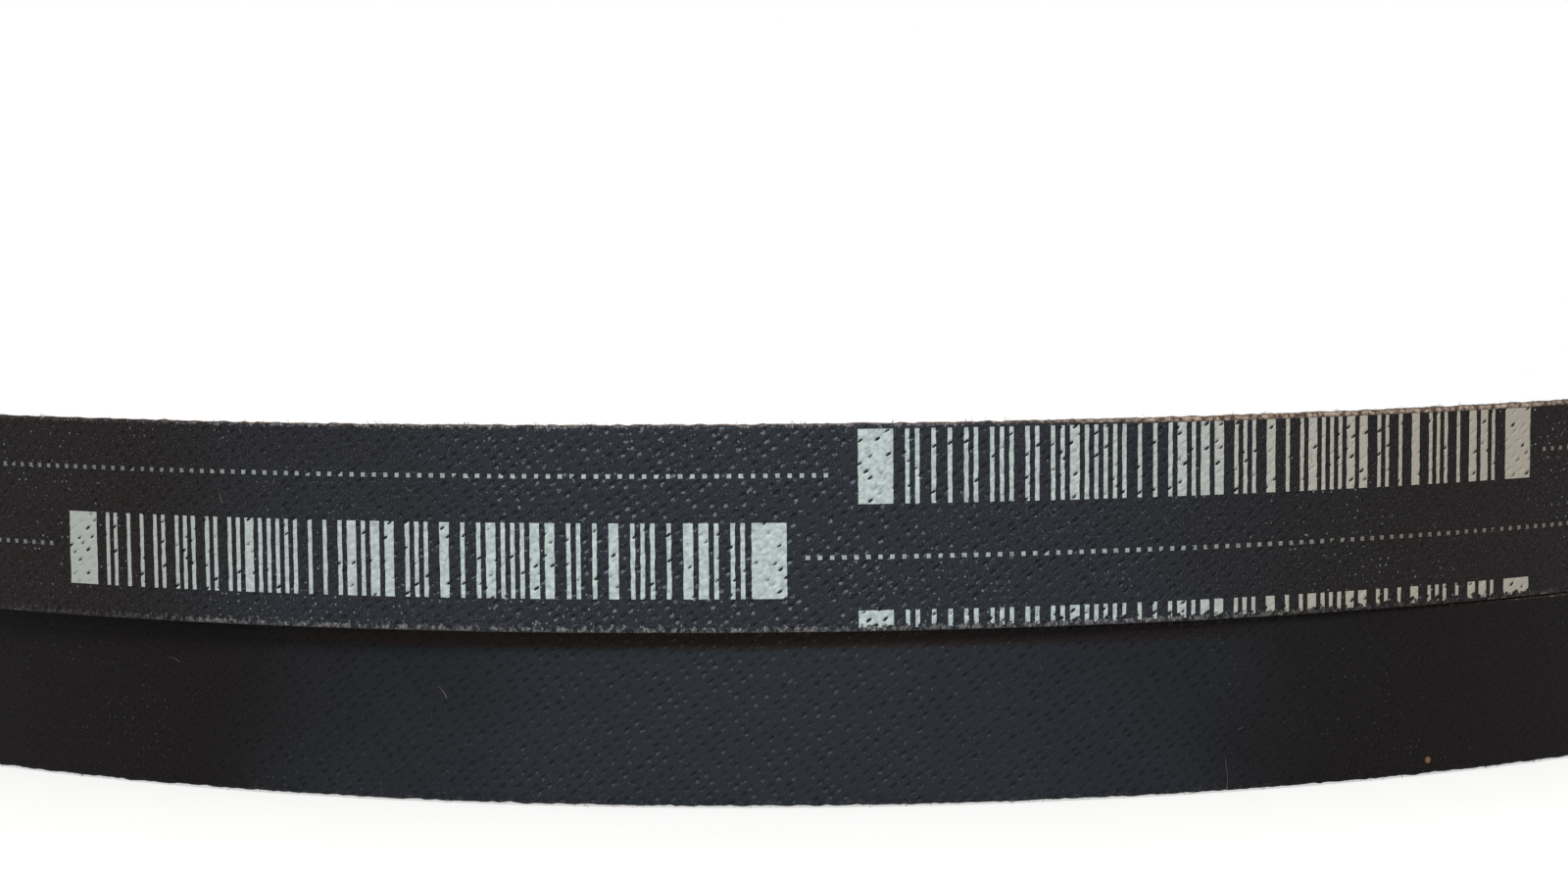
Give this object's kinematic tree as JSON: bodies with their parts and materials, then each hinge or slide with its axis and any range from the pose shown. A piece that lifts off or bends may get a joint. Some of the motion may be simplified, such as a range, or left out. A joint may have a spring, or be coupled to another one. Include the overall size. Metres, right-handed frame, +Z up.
{
  "type": "rubber drive belt pair",
  "caption": "Endless raw-edge rubber belts of V section with cloth backs, one lying on another; each bends from round to oval, and the upper one lifts off.",
  "frame": {"origin": "middle of the pair, on the floor that the lower belt lies on", "axes": "+Z up along both belts' turning axis; -Y towards the printed stretch that the picture shows; +X to its right"},
  "size_m": [0.2732, 0.272, 0.0319],
  "materials": {
    "cover_cloth": "rubberised twill, black, printed on the upper belt",
    "tension_rubber": "cut rubber, matt",
    "cord_ply": "treated polyester cord",
    "cushion_rubber": "cut rubber, matt",
    "compression_rubber": "fibre-filled cut rubber, matt",
    "base_cloth": "rubberised cloth"
  },
  "bodies": {
    "lower_near": {"lower_cover_cloth_near": "cover_cloth", "lower_tension_rubber_near": "tension_rubber", "lower_cord_ply_near": "cord_ply", "lower_cushion_rubber_near": "cushion_rubber", "lower_compression_rubber_near": "compression_rubber", "lower_base_cloth_near": "base_cloth"},
    "lower_right": {"lower_cover_cloth_right": "cover_cloth", "lower_tension_rubber_right": "tension_rubber", "lower_cord_ply_right": "cord_ply", "lower_cushion_rubber_right": "cushion_rubber", "lower_compression_rubber_right": "compression_rubber", "lower_base_cloth_right": "base_cloth"},
    "lower_far_right": {"lower_cover_cloth_far_right": "cover_cloth", "lower_tension_rubber_far_right": "tension_rubber", "lower_cord_ply_far_right": "cord_ply", "lower_cushion_rubber_far_right": "cushion_rubber", "lower_compression_rubber_far_right": "compression_rubber", "lower_base_cloth_far_right": "base_cloth"},
    "lower_far_left": {"lower_cover_cloth_far_left": "cover_cloth", "lower_tension_rubber_far_left": "tension_rubber", "lower_cord_ply_far_left": "cord_ply", "lower_cushion_rubber_far_left": "cushion_rubber", "lower_compression_rubber_far_left": "compression_rubber", "lower_base_cloth_far_left": "base_cloth"},
    "lower_left": {"lower_cover_cloth_left": "cover_cloth", "lower_tension_rubber_left": "tension_rubber", "lower_cord_ply_left": "cord_ply", "lower_cushion_rubber_left": "cushion_rubber", "lower_compression_rubber_left": "compression_rubber", "lower_base_cloth_left": "base_cloth"},
    "upper_near": {"upper_cover_cloth_near": "cover_cloth", "upper_tension_rubber_near": "tension_rubber", "upper_cord_ply_near": "cord_ply", "upper_cushion_rubber_near": "cushion_rubber", "upper_compression_rubber_near": "compression_rubber", "upper_base_cloth_near": "base_cloth"},
    "upper_right": {"upper_cover_cloth_right": "cover_cloth", "upper_tension_rubber_right": "tension_rubber", "upper_cord_ply_right": "cord_ply", "upper_cushion_rubber_right": "cushion_rubber", "upper_compression_rubber_right": "compression_rubber", "upper_base_cloth_right": "base_cloth"},
    "upper_far_right": {"upper_cover_cloth_far_right": "cover_cloth", "upper_tension_rubber_far_right": "tension_rubber", "upper_cord_ply_far_right": "cord_ply", "upper_cushion_rubber_far_right": "cushion_rubber", "upper_compression_rubber_far_right": "compression_rubber", "upper_base_cloth_far_right": "base_cloth"},
    "upper_far_left": {"upper_cover_cloth_far_left": "cover_cloth", "upper_tension_rubber_far_left": "tension_rubber", "upper_cord_ply_far_left": "cord_ply", "upper_cushion_rubber_far_left": "cushion_rubber", "upper_compression_rubber_far_left": "compression_rubber", "upper_base_cloth_far_left": "base_cloth"},
    "upper_left": {"upper_cover_cloth_left": "cover_cloth", "upper_tension_rubber_left": "tension_rubber", "upper_cord_ply_left": "cord_ply", "upper_cushion_rubber_left": "cushion_rubber", "upper_compression_rubber_left": "compression_rubber", "upper_base_cloth_left": "base_cloth"}
  },
  "joints": [
    {"name": "lower_right_bend", "type": "hinge", "parent": "lower_near", "child": "lower_right", "pos_m": [0.09437, -0.09177, 0.0073], "axis": [0, 0, 1], "range_deg": [-18, 18], "stiffness_Nm_per_rad": 0.3},
    {"name": "lower_left_bend", "type": "hinge", "parent": "lower_near", "child": "lower_left", "pos_m": [-0.09117, -0.09177, 0.0073], "axis": [0, 0, 1], "range_deg": [-18, 18], "stiffness_Nm_per_rad": 0.3},
    {"name": "lower_far_right_bend", "type": "hinge", "parent": "lower_right", "child": "lower_far_right", "pos_m": [0.09437, 0.09377, 0.0073], "axis": [0, 0, 1], "range_deg": [-18, 18], "stiffness_Nm_per_rad": 0.3},
    {"name": "lower_far_left_bend", "type": "hinge", "parent": "lower_left", "child": "lower_far_left", "pos_m": [-0.09117, 0.09377, 0.0073], "axis": [0, 0, 1], "range_deg": [-18, 18], "stiffness_Nm_per_rad": 0.3},
    {"name": "upper_lift", "type": "slide", "parent": "lower_near", "child": "upper_near", "axis": [0, 0, 1], "range_m": [0, 0.04]},
    {"name": "upper_right_bend", "type": "hinge", "parent": "upper_near", "child": "upper_right", "pos_m": [0.09117, -0.09377, 0.0234], "axis": [0, 0, 1], "range_deg": [-18, 18], "stiffness_Nm_per_rad": 0.3},
    {"name": "upper_left_bend", "type": "hinge", "parent": "upper_near", "child": "upper_left", "pos_m": [-0.09437, -0.09377, 0.0234], "axis": [0, 0, 1], "range_deg": [-18, 18], "stiffness_Nm_per_rad": 0.3},
    {"name": "upper_far_right_bend", "type": "hinge", "parent": "upper_right", "child": "upper_far_right", "pos_m": [0.09117, 0.09177, 0.0234], "axis": [0, 0, 1], "range_deg": [-18, 18], "stiffness_Nm_per_rad": 0.3},
    {"name": "upper_far_left_bend", "type": "hinge", "parent": "upper_left", "child": "upper_far_left", "pos_m": [-0.09437, 0.09177, 0.0234], "axis": [0, 0, 1], "range_deg": [-18, 18], "stiffness_Nm_per_rad": 0.3}
  ],
  "couplings": [
    {"joint": "lower_left_bend", "follows": "lower_right_bend", "ratio": 1},
    {"joint": "lower_far_right_bend", "follows": "lower_right_bend", "ratio": -1},
    {"joint": "lower_far_left_bend", "follows": "lower_right_bend", "ratio": -1},
    {"joint": "upper_left_bend", "follows": "upper_right_bend", "ratio": 1},
    {"joint": "upper_far_right_bend", "follows": "upper_right_bend", "ratio": -1},
    {"joint": "upper_far_left_bend", "follows": "upper_right_bend", "ratio": -1}
  ]
}
